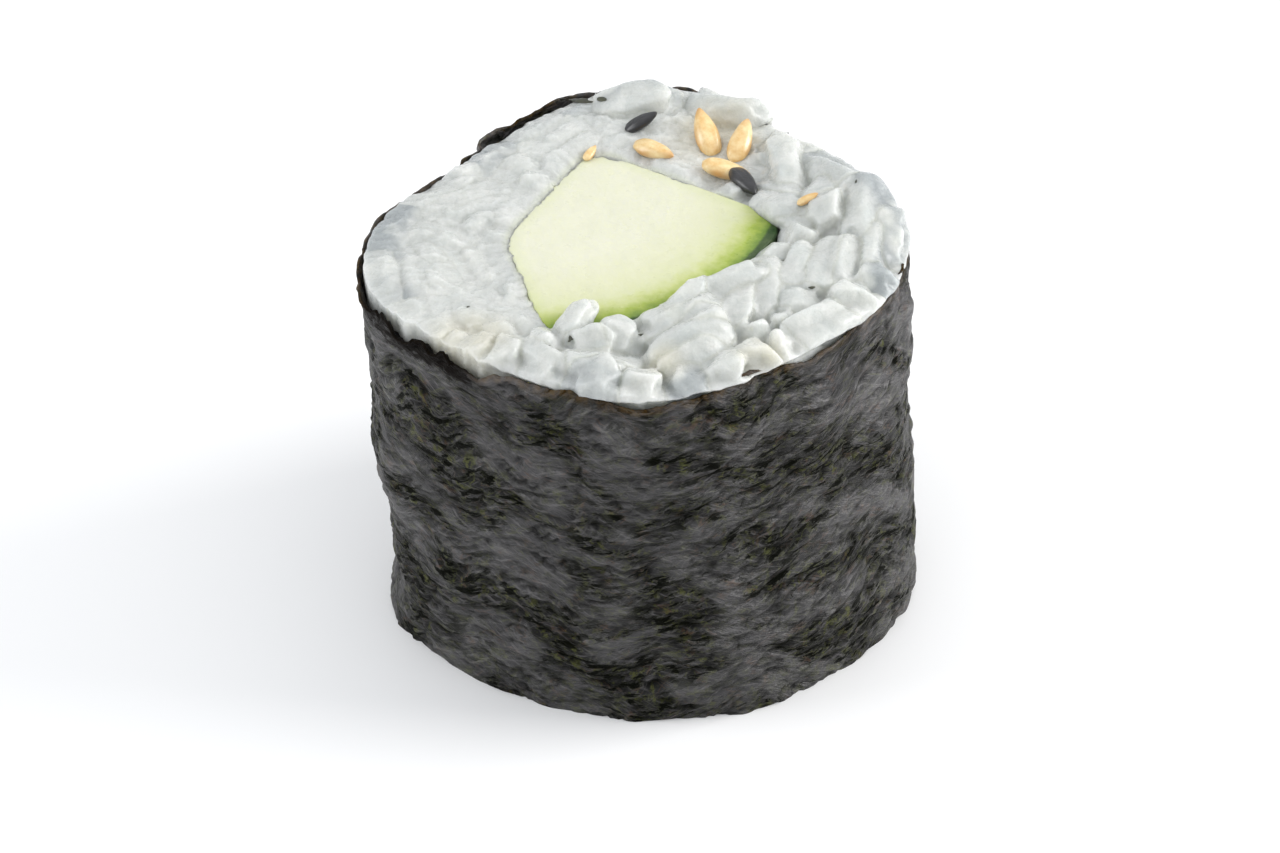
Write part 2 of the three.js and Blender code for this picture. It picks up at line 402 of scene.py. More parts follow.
def wrinkleTree():
    tree = geometryTree("noriWrinkles", [
        ("Swell", "NodeSocketFloat"),
        ("Wrinkle height", "NodeSocketFloat"),
        ("Wrinkle length", "NodeSocketFloat"),
        ("Wrinkle width", "NodeSocketFloat"),
        ("Fine height", "NodeSocketFloat"),
        ("Slit depth", "NodeSocketFloat"),
        ("Rim height", "NodeSocketFloat"),
        ("Frayed", "NodeSocketFloat"),
        ("Seed", "NodeSocketFloat"),
        ("Finish", "NodeSocketMaterial"),
    ])
    given = add(tree, "NodeGroupInput").outputs
    sheet = add(tree, "GeometryNodeInputNamedAttribute", {"Name": "sheet"}, data_type="FLOAT_VECTOR")
    parts = add(tree, "ShaderNodeSeparateXYZ", {0: sheet.outputs["Attribute"]})
    normal = add(tree, "GeometryNodeInputNormal")
    level = wanderingLevel(tree, parts.outputs["X"], parts.outputs["Y"])

    def streak(length, width, detail, extra):
        along = calculate(tree, "DIVIDE", parts.outputs["X"], length)
        up = calculate(tree, "DIVIDE", level, width)
        seeded = calculate(tree, "ADD", given["Seed"], extra)
        place = add(tree, "ShaderNodeCombineXYZ", {"X": along, "Y": up, "Z": seeded}).outputs[0]
        return noiseAt(tree, place, 1.0, detail, 0.55, 0.15)

    def narrow(pattern, sharpness):
        # 0 along thin lines of the pattern, 1 away from them
        line = calculate(tree, "ABSOLUTE", calculate(tree, "SUBTRACT", pattern, 0.5))
        return calculate(tree, "MINIMUM", calculate(tree, "MULTIPLY", line, sharpness), 1.0)

    ridge = narrow(streak(given["Wrinkle length"], given["Wrinkle width"], 2.0, 0.0), 6.0)
    slitLine = narrow(streak(1.9, 0.5, 1.0, 31.0), 11.0)
    slitPlace = spread(tree, streak(2.5, 1.5, 1.0, 41.0), 0.49, 0.58)
    slit = calculate(tree, "MULTIPLY", calculate(tree, "SUBTRACT", 1.0, slitLine), slitPlace)
    height = calculate(tree, "MULTIPLY", ridge, given["Wrinkle height"])
    height = calculate(tree, "MULTIPLY_ADD", streak(1.3, 0.5, 2.0, 9.0), given["Fine height"], height)
    height = calculate(tree, "MULTIPLY_ADD", streak(5.0, 3.2, 2.0, 21.0), given["Swell"], height)
    height = calculate(tree, "SUBTRACT", height, calculate(tree, "MULTIPLY", slit, given["Slit depth"]))
    height = calculate(tree, "SUBTRACT", height, calculate(tree, "MULTIPLY", given["Swell"], 0.5))
    height = calculate(tree, "SUBTRACT", height, calculate(tree, "MULTIPLY", given["Wrinkle height"], 0.8))
    height = calculate(tree, "MULTIPLY", height, mm)
    offset = add(
        tree,
        "ShaderNodeVectorMath",
        {0: normal.outputs["Normal"], "Scale": height},
        operation="SCALE",
    )
    # The rim is frayed: the uppermost part is pulled up and down, most where it is torn.
    torn = calculate(tree, "MULTIPLY_ADD", parts.outputs["Z"], 2.4, 0.5)
    fray = calculate(tree, "MULTIPLY_ADD", streak(1.1, 50.0, 4.0, 5.0), 2.4, -1.25)
    wave = calculate(tree, "MULTIPLY_ADD", streak(7.0, 60.0, 1.0, 51.0), 5.0, -2.65)
    fray = calculate(tree, "ADD", calculate(tree, "MULTIPLY", fray, torn), wave)
    fray = calculate(tree, "ADD", fray, calculate(tree, "MULTIPLY", parts.outputs["Z"], -1.1))
    below = calculate(tree, "SUBTRACT", given["Rim height"], parts.outputs["Y"])
    near = calculate(tree, "SUBTRACT", 1.0, calculate(tree, "DIVIDE", below, 1.5), clamp=True)
    lift = calculate(tree, "MULTIPLY", fray, calculate(tree, "MULTIPLY", near, given["Frayed"]))
    lift = calculate(tree, "MULTIPLY", lift, mm)
    up = add(tree, "ShaderNodeCombineXYZ", {"X": 0.0, "Y": 0.0, "Z": lift}).outputs[0]
    total = add(tree, "ShaderNodeVectorMath", {0: offset.outputs[0], 1: up}, operation="ADD")
    current = add(
        tree,
        "GeometryNodeSetPosition",
        {"Geometry": given["Geometry"], "Offset": total.outputs[0]},
    )
    for label, value in (("ridge", ridge), ("slit", slit)):
        current = add(
            tree,
            "GeometryNodeStoreNamedAttribute",
            {"Geometry": current.outputs["Geometry"], "Name": label, "Value": value},
            data_type="FLOAT",
            domain="POINT",
        )
    finished = add(
        tree,
        "GeometryNodeSetMaterial",
        {"Geometry": current.outputs["Geometry"], "Material": given["Finish"]},
    )
    add(tree, "NodeGroupOutput", {"Geometry": finished.outputs["Geometry"]})
    return tree


def noriMaterial():
    material, tree, shader = newMaterial("driedSeaweed")
    sheet = add(tree, "ShaderNodeSeparateXYZ", {0: attribute(tree, "sheet", "Vector")}).outputs
    level = wanderingLevel(tree, sheet["X"], sheet["Y"])
    place = add(tree, "ShaderNodeCombineXYZ", {"X": sheet["X"], "Y": level}).outputs[0]

    def fibre(length, width, detail, roughness=0.6, turn=0.0, twist=0.15):
        made = add(tree, "ShaderNodeMapping", {"Vector": place, "Rotation": (0, 0, turn)})
        made = add(
            tree,
            "ShaderNodeMapping",
            {"Vector": made.outputs[0], "Scale": (1 / length, 1 / width, 1)},
        )
        return noiseAt(tree, made.outputs[0], 1.0, detail, roughness, twist)

    def strands(length, width, turn):
        # thin threads: where a drawn-out pattern crosses its middle value
        line = calculate(tree, "SUBTRACT", fibre(length, width, 2, 0.5, turn, 0.4), 0.5)
        return spread(tree, calculate(tree, "ABSOLUTE", line), 0.025, 0.0)

    coarse = fibre(3.2, 0.6, 5)
    fine = fibre(1.2, 0.2, 4, 0.65, 0.25)
    # Some parts are rough and mossy, with pits; others are smooth and greyer.
    rough = spread(tree, fibre(7.0, 3.6, 3, 0.55, 0.35, 0.4), 0.43, 0.57)
    pitShape = fibre(1.5, 0.4, 4, 0.65, -0.15, 0.3)
    pits = spread(tree, pitShape, 0.465, 0.43)
    pits = calculate(tree, "MULTIPLY", pits, spread(tree, rough, 0.0, 0.8, (0.22, 1.0)))
    threads = strands(2.6, 0.5, 0.35)
    crossThreads = strands(2.0, 0.55, -0.6)
    colour = colourRamp(tree, coarse, [
        (0.36, (0.0035, 0.0035, 0.003)),
        (0.5, (0.007, 0.0068, 0.0063)),
        (0.64, (0.017, 0.016, 0.016)),
    ])
    even = spread(tree, rough, 1.0, 0.0, (0.0, 0.5))
    colour = blendColours(tree, even, colour, (0.028, 0.0245, 0.0285, 1))
    # felted fibres, in two directions
    felt = calculate(tree, "MAXIMUM", fibre(2.4, 0.24, 3, 0.5, 0.42), fibre(2.0, 0.22, 3, 0.5, -0.3))
    # The felt's crests are painted lighter grey, as a painted highlight on the raised fibres.
    feltHighlight = spread(tree, felt, 0.57, 0.67, (0.0, 0.6))
    colour = blendColours(tree, feltHighlight, colour, (0.11, 0.104, 0.107, 1))
    flecks = noiseAt(tree, place, 1.5, 5, 0.75)
    low = spread(tree, sheet["Y"], 5.0, 1.5, (0.0, 0.6))
    mossy = calculate(tree, "MAXIMUM", spread(tree, rough, 0.0, 1.0, (0.15, 0.85)), low)
    green = calculate(tree, "MULTIPLY", spread(tree, flecks, 0.535, 0.6), mossy)
    colour = blendColours(tree, green, colour, (0.064, 0.068, 0.014, 1))
    # Single threads catch the light: olive ones, brown ones and grey ones.
    kind = noiseAt(tree, place, 0.9, 2)
    threadColour = colourRamp(tree, kind, [
        (0.38, (0.12, 0.06, 0.028)),
        (0.46, (0.12, 0.115, 0.11)),
        (0.54, (0.12, 0.115, 0.11)),
        (0.6, (0.1, 0.11, 0.024)),
    ])
    allThreads = calculate(tree, "MAXIMUM", threads, crossThreads)
    colour = blendColours(tree, calculate(tree, "MULTIPLY", allThreads, 0.4), colour, threadColour)
    # Pits have an olive edge, and are painted nearly black as painted shade.
    olive = calculate(tree, "MULTIPLY", spread(tree, pitShape, 0.5, 0.465), mossy)
    olive = calculate(tree, "MULTIPLY", olive, 0.45)
    colour = blendColours(tree, olive, colour, (0.034, 0.039, 0.012, 1))
    # The wrinkles' valleys, the pits and the slits are painted nearly black: painted shade in the hollows.
    valleyShade = spread(tree, attribute(tree, "ridge"), 0.3, 0.0, (0.0, 0.7))
    slit = calculate(tree, "MULTIPLY", attribute(tree, "slit"), 0.9)
    dark = calculate(tree, "MAXIMUM", calculate(tree, "MAXIMUM", valleyShade, pits), slit)
    deep = calculate(tree, "MULTIPLY", dark, 0.95)
    colour = blendColours(tree, deep, colour, (0.002, 0.0024, 0.0012, 1))
    # The cut rim is painted browner: painted light shining through its thin edge.
    rim = spread(tree, sheet["Y"], rimHeight - 0.8, rimHeight - 0.3, (0.0, 0.85))
    rim = calculate(tree, "MULTIPLY", rim, spread(tree, flecks, 0.4, 0.6))
    colour = blendColours(tree, rim, colour, (0.075, 0.042, 0.012, 1))
    # Where it is torn it is frayed, and painted nearly black under the brown: painted shade of the gap
    # between the torn rim and the rice.
    ragged = calculate(tree, "MULTIPLY_ADD", noiseAt(tree, place, 1.1, 4, 0.7), 3.4, -1.7)
    raggedLevel = calculate(tree, "ADD", sheet["Y"], ragged)
    tornGapShade = spread(tree, raggedLevel, rimHeight - 1.9, rimHeight - 1.5)
    tornGapShade = calculate(tree, "MULTIPLY", tornGapShade, spread(tree, sheet["Z"], 0.2, 0.5))
    colour = blendColours(tree, tornGapShade, colour, (0.006, 0.0042, 0.0024, 1))
    dark = calculate(tree, "MAXIMUM", dark, calculate(tree, "MULTIPLY", tornGapShade, 0.9))
    tree.links.new(colour, shader.inputs["Base Color"])
    tree.links.new(spread(tree, coarse, 0.35, 0.65, (0.6, 0.36)), shader.inputs["Roughness"])
    shader.inputs["IOR"].default_value = 1.46
    shader.inputs["Sheen Weight"].default_value = 0.02
    shader.inputs["Sheen Roughness"].default_value = 0.35
    shader.inputs["Sheen Tint"].default_value = (0.95, 0.9, 1.0, 1)
    gloss = spread(tree, rough, 0.0, 1.0, (0.95, 0.2))
    gloss = calculate(tree, "MULTIPLY", gloss, spread(tree, dark, 0.0, 1.0, (1.0, 0.1)))
    tree.links.new(gloss, shader.inputs["Specular IOR Level"])
    height = calculate(tree, "MULTIPLY_ADD", coarse, 1.0, fine)
    height = calculate(tree, "MULTIPLY_ADD", felt, 0.8, height)
    height = calculate(tree, "SUBTRACT", height, calculate(tree, "MULTIPLY", pits, 0.5))
    bump = add(tree, "ShaderNodeBump", {"Height": height, "Strength": 1.0, "Distance": 0.21 * mm})
    tree.links.new(bump.outputs["Normal"], shader.inputs["Normal"])
    return material


noriFinish = noriMaterial()
sheetObject = newObject("noriSource", noriSheet())
runTree(sheetObject, wrinkleTree(), {
    "Swell": nori["swell"],
    "Slit depth": nori["slit"],
    "Wrinkle height": nori["wrinkle"],
    "Wrinkle length": nori["wrinkleLength"],
    "Wrinkle width": nori["wrinkleWidth"],
    "Fine height": nori["fine"],
    "Rim height": rimHeight,
    "Frayed": nori["frayed"],
    "Seed": nori["seed"],
    "Finish": noriFinish,
})
wall = sheetObject.modifiers.new("wall", "SOLIDIFY")
wall.thickness = nori["thickness"] * mm
wall.offset = 0
noriPiece = bake(sheetObject, "nori_sheet")
finishPiece(noriPiece, ["nori"], noriFinish)


def surfaceTree(piece):
    corners = meshPoints(piece.data)
    return BVHTree.FromPolygons(corners.tolist(), [tuple(p.vertices) for p in piece.data.polygons])


def sheetInside():
    # how far out the rice can reach: the inside of the finished sheet, less a hair
    heights, reaches = reachTable(surfaceTree(noriPiece), np.linspace(0.3, rimHeight - 1.1, 48))
    for shift, axis in ((1, 1), (-1, 1), (1, 1), (-1, 1)):
        reaches = np.minimum(reaches, np.roll(reaches, shift, axis))
    reaches[1:] = np.minimum(reaches[1:], reaches[:-1])
    reaches[:-1] = np.minimum(reaches[:-1], reaches[1:])
    return heights, reaches - 0.05


riceOutside = sheetInside()


rice = {
    "grainLength": 5.0,
    "grainWidth": 2.55,
    "grainThickness": 2.25,
    "shapes": 8,  # different whole grains
    "broken": 5,  # and broken ones
    "brokenLength": 0.58,  # share of a whole grain's length
    "brokenShare": 0.42,
    "sizeSpread": 0.13,
    "layerDepth": 2.9,  # of real grains under a cut face
    "topCount": 195,
    "footCount": 105,
    "looseTowards": math.radians(-45),  # where the rice has crumbled
    "looseFrom": (-0.04, 0.3),  # shares of the radius where it starts and is complete
    "looseRise": 1.3,  # how far the loose part stands over the rim, on average
    "looseWaves": 0.9,  # and how much that varies
    "pressedRise": 0.28,  # and the pressed part
    "pasteDrop": 0.1,  # of the paste between pressed grains, under their crests
    "loosePasteDrop": 0.9,  # and between loose ones
    "overhang": 0.5,  # how far grains lean out over the rim
    "dipTowards": math.radians(125),  # where the pressed rice sinks away from the rim
    "dip": 0.85,  # and how far
    "clearTowards": (115, 29, -6, 192),  # most of the clear grains at the edge are here, in degrees
    # Warmer places: from the middle of the cut face x, y, and their radius.
    "warmSpots": [(4.4, 8.6, 3.4), (-8.6, -9.0, 3.2), (6.5, -10.5, 2.0), (1.6, -11.4, 1.6)],
    "lapOver": 0.6,  # how far the rice laps over the cucumber's cut edge
    "topVoxel": 0.115,  # fineness of the fused grains at the upper cut face
    "footVoxel": 0.18,  # and at the foot
    "seed": 11,
    # Whole grains left lying on the cut face, from its middle: x, y, turn, size, height.
    "perched": [
        (0.2, 11.6, 8, 1.05, 0.15),
        (8.0, 5.6, 100, 1.15, 0.3),
        (4.9, 10.8, -25, 1.0, 0.1),
        (-2.9, -8.0, 65, 0.72, 0.8),
        (9.9, 2.3, 70, 0.95, 0.6),
        (2.4, -6.9, 60, 0.95, 0.8),
        (5.2, -4.9, 35, 0.9, 0.8),
        (12.6, -1.6, 80, 0.9, 0.5),
    ],
    "closeness": 0.84,  # of two grains' axes, as a share of their radii
    "rounds": 160,  # of pushing the grains apart
}


def cucumberFace(x, y):
    # height of the cucumber's upper cut face, which dips towards where the seeds were
    return cucumberHeight - 0.35 * smooth(0, 14, y - x)


def looseness(x, y):
    # 0 where the knife pressed the rice flat, 1 where it has crumbled
    towards = (x * math.cos(rice["looseTowards"]) + y * math.sin(rice["looseTowards"])) / 14
    return smooth(*rice["looseFrom"], towards)


def topCeiling(x, y):
    # height of the grains' crests over the rim
    places = zip(np.ravel(x), np.ravel(y))
    humps = np.array([noise.noise(Vector((px * 0.22, py * 0.22, 6))) for px, py in places])
    loose = rice["looseRise"] + rice["looseWaves"] * humps.reshape(np.shape(x))
    return mix(rice["pressedRise"], loose, looseness(x, y))


def footCeiling(x, y):
    return np.zeros_like(x)


def grainShape(index, rng):
    # one cooked short grain, along X, a little bent and creased, with a notch at one end;
    # the last few are broken across
    shape = bmesh.new()
    bmesh.ops.create_icosphere(shape, subdivisions=4, radius=1)
    broken = index >= rice["shapes"]
    length = rice["grainLength"] * (rice["brokenLength"] if broken else 1)
    bend, flat = rng.uniform(-0.14, 0.18), rng.uniform(0.88, 1.05)
    notch, taper = rng.uniform(0.1, 0.3), rng.uniform(0.02, 0.24)
    shift = Vector((index * 7.3, 1.7, index * 2.1))
    # Neighbours press flat places into a grain's sides.
    presses = [
        (Vector([rng.gauss(0, 1) for _ in range(3)]).normalized(), rng.uniform(0.54, 0.86))
        for _ in range(11)
    ]
    if broken:
        presses += [
            (Vector((1, rng.uniform(-0.6, 0.6), rng.uniform(-0.6, 0.6))).normalized(), 0.5),
            (Vector((-1, rng.uniform(-0.6, 0.6), rng.uniform(-0.6, 0.6))).normalized(), 0.72),
        ]
    for vertex in shape.verts:
        x, y, z = vertex.co
        full = (1 - abs(x) ** 2.6) ** 0.42 / max(1e-4, math.sqrt(max(1e-8, 1 - x * x)))
        y *= full * (1 - taper * x)
        z *= full * flat * (1 - 0.6 * taper * x)
        crease = 0.12 * math.exp(-((y / 0.28) ** 2)) * (1 - x * x)
        z -= math.copysign(crease, z) * min(1, abs(z) * 3)
        dent = notch * math.exp(-((x - 0.86) ** 2 + (z - 0.35) ** 2) / 0.07)
        x -= dent
        z -= dent * 0.6
        for way, limit in presses:
            over = x * way.x * (1 if broken else 0.6) + y * way.y + z * way.z - limit
            if over > 0:
                x, y, z = Vector((x, y, z)) - way * over
        lump = noise.noise(Vector((x * 1.6, y * 1.3, z * 1.3)) + shift)
        lump += 0.4 * noise.noise(Vector((x * 4.0, y * 3.1, z * 3.1)) + shift)
        z += bend * (x * x - 0.3)
        y += 0.35 * bend * (x * x - 0.3)
        vertex.co = Vector((
            x * length / 2,
            y * rice["grainWidth"] / 2,
            z * rice["grainThickness"] / 2,
        )) * (1.04 + 0.07 * lump) * mm
    mesh = bpy.data.meshes.new(f"grainShape{index}")
    shape.to_mesh(mesh)
    shape.free()
    return newObject(f"grainShape{index}", mesh)


def packGrains(count, ceiling, facing, seed):
    # Grains are pushed apart as soft capsules until they fill the ring between the cucumber and
    # the nori. w is the height over the cut face's plane, outwards. Returns both ends, sizes
    # and which shape each grain has.
    rng = np.random.default_rng(seed)
    kinds = rng.integers(0, rice["shapes"], count)
    broken = rng.random(count) < rice["brokenShare"]
    kinds = np.where(broken, rice["shapes"] + kinds % rice["broken"], kinds)
    share = np.where(broken, rice["brokenLength"], 1)
    half = np.maximum(rice["grainLength"] * share - rice["grainWidth"], 0.2) / 2
    radius = rice["grainWidth"] / 2
    depth = rice["layerDepth"]
    middles = []
    while len(middles) < count:
        x, y = rng.uniform(-15, 15, 2)
        w = rng.uniform(-depth, ceiling(np.array(x), np.array(y)))
        z = heightOf(w, facing)
        reach, angle = polar(np.array(x), np.array(y), np.array(z))
        if lookUp(cucumberOutside, angle, z) + 0.4 < reach < lookUp(riceOutside, angle, z) - 0.4:
            middles.append((x, y, w))
    middles = np.array(middles)
    turn = rng.uniform(0, fullTurn, count)
    loose = looseness(middles[:, 0], middles[:, 1]) if facing > 0 else np.zeros(count)
    tilt = np.arcsin(rng.uniform(-1, 1, count)) * mix(0.75, 0.55, loose)
    along = np.stack([np.cos(turn) * np.cos(tilt), np.sin(turn) * np.cos(tilt), np.sin(tilt)], 1)
    size = np.clip(rng.normal(1, rice["sizeSpread"], count), 0.72, 1.22)
    halves = (half * size)[:, None]
    radii = radius * size
    ends = np.stack([middles - along * halves, middles + along * halves], 1)
    first, second = np.triu_indices(count, 1)
    for step in range(rice["rounds"]):
        a0, a1, b0, b1 = ends[first, 0], ends[first, 1], ends[second, 0], ends[second, 1]
        s, t, gap, way = closest(a0, a1, b0, b1)
        wanted = rice["closeness"] * (radii[first] + radii[second])
        push = np.clip(wanted - gap, 0, None) * 0.35
        move = way * push[:, None] * 0.5
        shifts = np.zeros_like(ends)
        np.add.at(shifts, (first, 0), -move * (1 - s)[:, None])
        np.add.at(shifts, (first, 1), -move * s[:, None])
        np.add.at(shifts, (second, 0), move * (1 - t)[:, None])
        np.add.at(shifts, (second, 1), move * t[:, None])
        whole = shifts.mean(1, keepdims=True)
        ends += whole + (shifts - whole) * 0.4
        keepInside(ends, radii, ceiling, facing)
        middle = ends.mean(1)
        span = ends[:, 1] - ends[:, 0]
        span /= np.linalg.norm(span, axis=1)[:, None]
        ends = np.stack([middle - span * halves, middle + span * halves], 1)
    if facing > 0:
        ends, size, kinds = addPerched(ends, size, kinds)
    return ends, size, kinds


def addPerched(ends, size, kinds):
    half = (rice["grainLength"] - rice["grainWidth"]) / 2
    more, sizes = [], []
    for x, y, turn, scale, rise in rice["perched"]:
        middle = np.array([*(rimMiddle + (x, y)), rise])
        turn = math.radians(turn)
        along = np.array([math.cos(turn), math.sin(turn), 0.12]) * half * scale
        more.append([middle - along, middle + along])
        sizes.append(scale)
    whole = np.arange(len(sizes)) % rice["shapes"]
    return np.concatenate([ends, more]), np.concatenate([size, sizes]), np.concatenate([kinds, whole])


def heightOf(w, facing):
    return rimHeight + w if facing > 0 else -w


def closest(a0, a1, b0, b1):
    # shares along two segments of their nearest points, the distance and the direction between
    u, v, w0 = a1 - a0, b1 - b0, a0 - b0
    a, b, c = (u * u).sum(1), (u * v).sum(1), (v * v).sum(1)
    d, e = (u * w0).sum(1), (v * w0).sum(1)
    area = np.maximum(a * c - b * b, 1e-9)
    s = np.clip((b * e - c * d) / area, 0, 1)
    t = np.clip((b * s + e) / c, 0, 1)
    s = np.clip((b * t - d) / a, 0, 1)
    way = (b0 + v * t[:, None]) - (a0 + u * s[:, None])
    gap = np.linalg.norm(way, axis=1)
    return s, t, gap, way / np.maximum(gap, 1e-6)[:, None]


def keepInside(ends, radii, ceiling, facing):
    for side in range(2):
        point = ends[:, side]
        point[:, 2] = np.minimum(point[:, 2], ceiling(point[:, 0], point[:, 1]) - radii * 0.72)
        point[:, 2] = np.maximum(point[:, 2], -rice["layerDepth"] + 0.2)
        z = heightOf(point[:, 2], facing)
        reach, angle = polar(point[:, 0], point[:, 1], z)
        low = lookUp(cucumberOutside, angle, z) + radii * 0.85
        high = lookUp(riceOutside, angle, z) - radii * 0.85
        middle = (low + high) / 2
        low, high = np.minimum(low, middle), np.maximum(high, middle)
        factor = np.clip(reach, low, high) / np.maximum(reach, 1e-6)
        centre = axisAt(z)
        point[:, :2] = centre + (point[:, :2] - centre) * factor[:, None]


def pasteSlab(name, ceiling, facing):
    # what lies between and under the grains, as a closed ring
    around, rings = 160, 24
    angles = np.arange(around) * fullTurn / around
    rows = []
    for ring in range(rings + 1):
        share = ring / rings
        z = heightOf(-1.0, facing)
        reach = mix(
            lookUp(cucumberOutside, angles, z) + 0.15,
            lookUp(riceOutside, angles, z) - 0.15,
            share,
        )
        centre = axisAt(z)
        x, y = centre[0] + reach * np.cos(angles), centre[1] + reach * np.sin(angles)
        drop = rice["pasteDrop"]
        if facing > 0:
            drop = mix(drop, rice["loosePasteDrop"], looseness(x, y))
        ripple = np.array([noise.noise(Vector((px * 0.5, py * 0.5, 3.0))) for px, py in zip(x, y)])
        rows.append(np.stack([x, y, ceiling(x, y) - drop + 0.25 * ripple], 1))
    under = [row * (1, 1, 0) + (0, 0, -rice["layerDepth"] - 0.1) for row in (rows[-1], rows[0])]
    rows += under
    faces = [(a, d, c, b) for a, b, c, d in ringFaces(len(rows), around)]  # turned to face out
    return newObject(name, newMesh(name, np.concatenate(rows), faces))


def placingTree():
    # shapes set on points, each turned, sized and chosen by its point, joined with what is under
    tree = geometryTree("setOnPoints", [
        ("Shapes", "NodeSocketCollection"),
        ("Under", "NodeSocketObject"),
        ("Finish", "NodeSocketMaterial"),
    ])
    given = add(tree, "NodeGroupInput")
    shapes = add(
        tree,
        "GeometryNodeCollectionInfo",
        {"Collection": given.outputs["Shapes"], "Separate Children": True, "Reset Children": True},
    )
    turn = add(tree, "GeometryNodeInputNamedAttribute", {"Name": "turn"}, data_type="FLOAT_VECTOR")
    size = add(tree, "GeometryNodeInputNamedAttribute", {"Name": "size"}, data_type="FLOAT")
    kind = add(tree, "GeometryNodeInputNamedAttribute", {"Name": "kind"}, data_type="FLOAT")
    placed = add(
        tree,
        "GeometryNodeInstanceOnPoints",
        {
            "Points": given.outputs["Geometry"],
            "Instance": shapes.outputs["Instances"],
            "Pick Instance": True,
            "Instance Index": kind.outputs["Attribute"],
            "Rotation": turn.outputs["Attribute"],
            "Scale": size.outputs["Attribute"],
        },
    )
    under = add(tree, "GeometryNodeObjectInfo", {"Object": given.outputs["Under"]})
    joined = add(tree, "GeometryNodeJoinGeometry")
    tree.links.new(placed.outputs["Instances"], joined.inputs["Geometry"])
    tree.links.new(under.outputs["Geometry"], joined.inputs["Geometry"])
    real = add(tree, "GeometryNodeRealizeInstances", {"Geometry": joined.outputs["Geometry"]})
    finished = add(
        tree,
        "GeometryNodeSetMaterial",
        {"Geometry": real.outputs["Geometry"], "Material": given.outputs["Finish"]},
    )
    add(tree, "NodeGroupOutput", {"Geometry": finished.outputs["Geometry"]})
    return tree


def shapeStore(name, shapes):
    # shapes kept out of the scene, for a tree to choose from
    store = bpy.data.collections.new(name)
    for shape in shapes:
        bpy.context.scene.collection.objects.unlink(shape)
        store.objects.link(shape)
    return store


def grainTurns(ends, rng):
    # the turn that lays a grain along its capsule, rolled a little round its own length
    turns = []
    for start, end in ends:
        along = Vector(end - start).normalized()
        side = Vector((0, 0, 1)).cross(along)
        side = side.normalized() if side.length > 1e-4 else Vector((0, 1, 0))
        up = along.cross(side)
        lay = Matrix((along, side, up)).transposed()
        roll = Matrix.Rotation(rng.normal(0, 0.7), 3, "X")
        turns.append(tuple((lay @ roll).to_euler()))
    return np.array(turns)


def makeRice(name, count, ceiling, facing, voxel, seed, shapes, tree, material):
    rng = np.random.default_rng(seed + 1)
    ends, size, kinds = packGrains(count, ceiling, facing, seed)
    points = newMesh(name, ends.mean(1), [], {
        "turn": grainTurns(ends, rng),
        "size": size,
        "kind": kinds,
    })
    source = newObject(name + "Points", points)
    paste = pasteSlab(name + "Paste", ceiling, facing)
    runTree(source, tree, {"Shapes": shapes, "Under": paste, "Finish": material})
    packed = bake(source, name + "Packed")
    bpy.data.objects.remove(paste)
    remesh = packed.modifiers.new("fuse", "REMESH")
    remesh.mode = "VOXEL"
    remesh.voxel_size = voxel * mm
    ease = packed.modifiers.new("ease", "SMOOTH")
    ease.factor = 0.5
    ease.iterations = 5
    piece = thinHidden(bake(packed, name + "Fused"), name)
    dropBubbles(piece.data)
    pressRice(piece.data, ends, size, ceiling, facing, rng)
    return piece


def thinHidden(fused, name):
    # fewer faces on the underside and the walls, which nothing shows
    points = meshPoints(fused.data)
    hidden = fused.vertex_groups.new(name="hidden")
    deep = np.flatnonzero(points[:, 2] < -1.7)
    hidden.add(deep.tolist(), 1.0, "REPLACE")
    fewer = fused.modifiers.new("fewer", "DECIMATE")
    fewer.ratio = 0.55
    fewer.vertex_group = "hidden"
    fewer.vertex_group_factor = 50
    return bake(fused, name)


def dropBubbles(mesh):
    # small closed hollows that fusing the grains leaves inside the rice
    shape = bmesh.new()
    shape.from_mesh(mesh)
    unseen = set(shape.verts)
    while unseen:
        island = [unseen.pop()]
        for vertex in island:
            around = {edge.other_vert(vertex) for edge in vertex.link_edges} & unseen
            unseen -= around
            island += around
        if len(island) < 500:
            bmesh.ops.delete(shape, geom=island, context="VERTS")
    shape.to_mesh(mesh)
    shape.free()


def grainMarks(points, ends, size, facing, rng):
    # what each point takes from the grain nearest to it, and where the seams between grains are
    radius = rice["grainWidth"] / 2
    middles = ends.mean(1)
    reach, angle = polar(middles[:, 0], middles[:, 1], np.full(len(middles), rimHeight - 1))
    toNori = lookUp(riceOutside, angle, rimHeight - 1) - reach
    tones = rng.uniform(0, 1, len(ends))
    rimmed = sum(nearAngle(angle, math.radians(towards), 0.4) for towards in rice["clearTowards"])
    clears = rng.uniform(-0.8, 0.9, len(ends)) + rimmed
    clears = np.where(toNori < 2.4, clears, 0).clip(0, 1)
    frees = np.zeros(len(ends))
    if facing > 0:
        frees[-len(rice["perched"]):] = 1
    nearest = np.full(len(points), 1e9)
    second = np.full(len(points), 1e9)
    tone, otherTone, clear, free = np.zeros((4, len(points)))
    onGrain = np.zeros((len(points), 3))  # along its nearest grain, across it, and which grain
    for index, (start, end) in enumerate(ends):
        along = end - start
        length = np.linalg.norm(along)
        offset = points - start
        share = np.clip(offset @ along / length ** 2, 0, 1)
        gap = np.linalg.norm(offset - share[:, None] * along, axis=1) / (radius * size[index])
        closer = gap < nearest
        otherTone = np.where(closer, tone, np.where(gap < second, tones[index], otherTone))
        second = np.where(closer, nearest, np.minimum(second, gap))
        nearest = np.where(closer, gap, nearest)
        tone[closer] = tones[index]
        clear[closer] = clears[index]
        free[closer] = frees[index]
        across = np.cross(along / length, (0, 0, 1))
        onGrain[closer] = np.stack([
            offset @ along / length,
            offset @ across,
            np.full(len(points), index * 7.0),
        ], 1)[closer]
    fromSeam = second - nearest
    return {
        "tone": mix((tone + otherTone) / 2, tone, smooth(0, 0.35, fromSeam)),
        "seam": 1 - smooth(0.0, 0.16, fromSeam),
        "clear": clear,
        "free": free,
        "onGrain": onGrain,
    }


